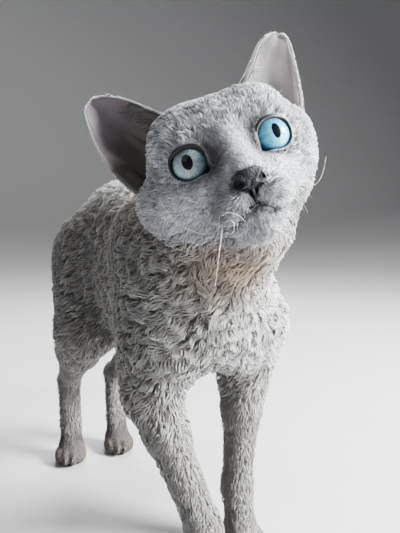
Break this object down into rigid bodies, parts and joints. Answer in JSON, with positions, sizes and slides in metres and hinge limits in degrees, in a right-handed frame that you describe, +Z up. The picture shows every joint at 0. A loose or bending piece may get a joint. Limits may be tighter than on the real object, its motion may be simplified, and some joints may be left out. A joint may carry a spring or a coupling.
{
  "type": "devon rex cat model",
  "caption": "Life-size still model of a devon rex cat standing on four paws, head turned, tipped up and tilted, with a curly coat and large ears.",
  "frame": {"origin": "on the floor under the middle of the cat's box, with the soles on z = 0", "axes": "+Z up, the cat faces -Y and its left side is +X"},
  "size_m": [0.205, 0.3522, 0.3285],
  "materials": {
    "coat": "soft short curly hair, cream and pale grey",
    "points": "short blue-grey hair of the ears and paws",
    "ear_skin": "thin matt skin with fine down",
    "iris": "wet, clear over pale blue"
  },
  "bodies": {
    "root": {"head": "coat", "neck": "coat", "torso": "coat", "tail_base": "coat", "tail_mid": "coat", "tail_tip": "points", "ear_left": "ear_skin", "ear_right": "ear_skin", "eye_left": "iris", "eye_right": "iris", "upper_arm_left": "coat", "foreleg_left": "coat", "upper_arm_right": "coat", "foreleg_right": "coat", "forepaw_left": "points", "forepaw_right": "points", "thigh_left": "coat", "hind_leg_left": "coat", "thigh_right": "coat", "hind_leg_right": "coat", "hind_paw_left": "points", "hind_paw_right": "points"}
  },
  "joints": []
}
